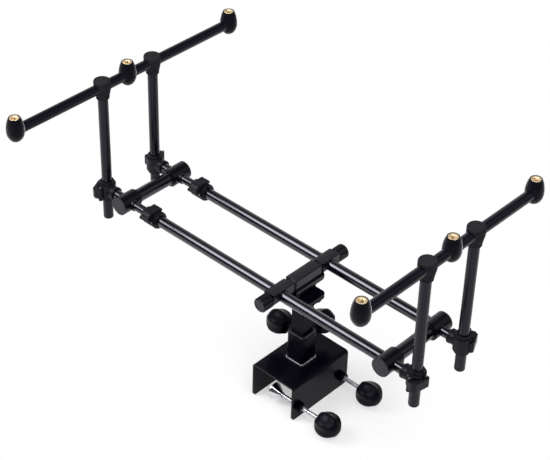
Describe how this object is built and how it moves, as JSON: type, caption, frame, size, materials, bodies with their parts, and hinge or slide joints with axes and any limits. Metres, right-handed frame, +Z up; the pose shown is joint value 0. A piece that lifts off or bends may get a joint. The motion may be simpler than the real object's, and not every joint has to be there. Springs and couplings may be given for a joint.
{
  "type": "rod pod",
  "caption": "Black plank-clamp rod pod: telescopic column, telescopic main bars and height-adjustable buzz bars with egg-shaped screw-in rod rest sockets.",
  "frame": {"origin": "middle of the seat face under the bracket's top plate, on the column axis", "axes": "X along the buzz bars with the near side at -X, Y along the main bars towards the rear rest, Z up"},
  "size_m": [0.521, 0.7434, 0.483],
  "materials": {
    "coat": "satin black powder coat",
    "bar_black": "gloss black",
    "tube_black": "satin black",
    "plastic": "matte moulded",
    "knob": "semi-gloss moulded",
    "soft": "soft matte",
    "cap": "flat dark grey",
    "chrome": "bright plated",
    "steel": "zinc plated",
    "brass": "machined"
  },
  "bodies": {
    "base": {"clamp_bracket": "coat", "post": "coat", "mast_guide": "plastic", "weld_nuts": "coat"},
    "near_foot": {"near_clamp_foot": "chrome"},
    "far_foot": {"far_clamp_foot": "chrome"},
    "near_screw": {"near_clamp_screw": "chrome", "near_clamp_knob": "knob"},
    "far_screw": {"far_clamp_screw": "chrome", "far_clamp_knob": "knob"},
    "rear_lock": {"rear_lock_screw": "steel", "rear_lock_knob": "knob"},
    "side_lock": {"side_lock_screw": "steel", "side_lock_knob": "knob"},
    "mast_body": {"mast": "coat", "saddle": "coat", "head_bolts": "steel", "clamp_bolts": "steel", "clamp_beam": "plastic", "bar_clamps": "plastic"},
    "near_end_knob": {"near_end_stud": "steel", "near_end_grip": "knob"},
    "far_end_knob": {"far_end_stud": "steel", "far_end_grip": "knob"},
    "bars": {"main_bars": "bar_black", "front_cross_tube": "bar_black", "front_bosses": "plastic", "front_end_caps": "cap", "front_stubs": "bar_black", "front_collars": "plastic", "bar_locks": "plastic", "frame_lock_pins": "steel"},
    "bar_lever_near": {"near_bar_lever": "plastic"},
    "bar_lever_far": {"far_bar_lever": "plastic"},
    "lever_front_near": {"front_near_lever": "plastic"},
    "lever_front_far": {"front_far_lever": "plastic"},
    "front_rest": {"front_uprights": "tube_black", "front_foot_plugs": "plastic", "front_heads": "soft", "front_buzz_bar": "tube_black", "front_eggs": "soft", "front_inserts": "brass"},
    "rear_section": {"inner_tubes": "bar_black", "telescope_bushes": "plastic", "rear_cross_tube": "bar_black", "rear_bosses": "plastic", "rear_end_caps": "cap", "rear_stubs": "bar_black", "rear_collars": "plastic", "rear_lock_pins": "steel"},
    "lever_rear_near": {"rear_near_lever": "plastic"},
    "lever_rear_far": {"rear_far_lever": "plastic"},
    "rear_rest": {"rear_uprights": "tube_black", "rear_foot_plugs": "plastic", "rear_heads": "soft", "rear_buzz_bar": "tube_black", "rear_eggs": "soft", "rear_inserts": "brass"}
  },
  "joints": [
    {"name": "near_foot_slide", "type": "slide", "parent": "base", "child": "near_foot", "axis": [0, 1, 0], "range_m": [-0.033, 0.03]},
    {"name": "near_screw_turn", "type": "hinge", "parent": "near_foot", "child": "near_screw", "pos_m": [-0.053, -0.112, -0.0445], "axis": [0, 1, 0], "range_deg": [-9510, 8650]},
    {"name": "far_foot_slide", "type": "slide", "parent": "base", "child": "far_foot", "axis": [0, 1, 0], "range_m": [-0.033, 0.03]},
    {"name": "far_screw_turn", "type": "hinge", "parent": "far_foot", "child": "far_screw", "pos_m": [0.053, -0.112, -0.0445], "axis": [0, 1, 0], "range_deg": [-9510, 8650]},
    {"name": "rear_lock_turn", "type": "hinge", "parent": "base", "child": "rear_lock", "pos_m": [0, 0.052, 0.053], "axis": [0, 1, 0], "range_deg": [0, 540]},
    {"name": "side_lock_turn", "type": "hinge", "parent": "base", "child": "side_lock", "pos_m": [0.052, 0, 0.053], "axis": [1, 0, 0], "range_deg": [0, 540]},
    {"name": "mast_lift", "type": "slide", "parent": "base", "child": "mast_body", "axis": [0, 0, 1], "range_m": [0, 0.03]},
    {"name": "near_end_turn", "type": "hinge", "parent": "mast_body", "child": "near_end_knob", "pos_m": [-0.095, 0.004, 0.175], "axis": [1, 0, 0], "range_deg": [0, 360]},
    {"name": "far_end_turn", "type": "hinge", "parent": "mast_body", "child": "far_end_knob", "pos_m": [0.095, 0.004, 0.175], "axis": [1, 0, 0], "range_deg": [0, 360]},
    {"name": "bars_shift", "type": "slide", "parent": "mast_body", "child": "bars", "axis": [0, 1, 0], "range_m": [-0.1, 0.08]},
    {"name": "bar_lever_near_flip", "type": "hinge", "parent": "bars", "child": "bar_lever_near", "pos_m": [-0.077, 0.296, 0.18], "axis": [0, 1, 0], "range_deg": [-110, 0]},
    {"name": "bar_lever_far_flip", "type": "hinge", "parent": "bars", "child": "bar_lever_far", "pos_m": [0.038, 0.296, 0.18], "axis": [0, 1, 0], "range_deg": [-110, 0]},
    {"name": "lever_front_near_flip", "type": "hinge", "parent": "bars", "child": "lever_front_near", "pos_m": [-0.07757, -0.28554, 0.175], "axis": [0, 0, 1], "range_deg": [-110, 0]},
    {"name": "lever_front_far_flip", "type": "hinge", "parent": "bars", "child": "lever_front_far", "pos_m": [0.07729, -0.28029, 0.175], "axis": [0, 0, 1], "range_deg": [0, 110]},
    {"name": "front_rest_lift", "type": "slide", "parent": "bars", "child": "front_rest", "axis": [0, 0, 1], "range_m": [-0.15, 0.03]},
    {"name": "rear_extend", "type": "slide", "parent": "bars", "child": "rear_section", "axis": [0, 1, 0], "range_m": [-0.02, 0.12]},
    {"name": "lever_rear_far_flip", "type": "hinge", "parent": "rear_section", "child": "lever_rear_far", "pos_m": [0.07757, 0.41754, 0.175], "axis": [0, 0, 1], "range_deg": [-110, 0]},
    {"name": "lever_rear_near_flip", "type": "hinge", "parent": "rear_section", "child": "lever_rear_near", "pos_m": [-0.07729, 0.41229, 0.175], "axis": [0, 0, 1], "range_deg": [0, 110]},
    {"name": "rear_rest_lift", "type": "slide", "parent": "rear_section", "child": "rear_rest", "axis": [0, 0, 1], "range_m": [-0.15, 0.03]}
  ],
  "couplings": [
    {"joint": "near_screw_turn", "follows": "near_foot_slide", "rad_per_m": 5026.5},
    {"joint": "far_screw_turn", "follows": "far_foot_slide", "rad_per_m": 5026.5}
  ]
}
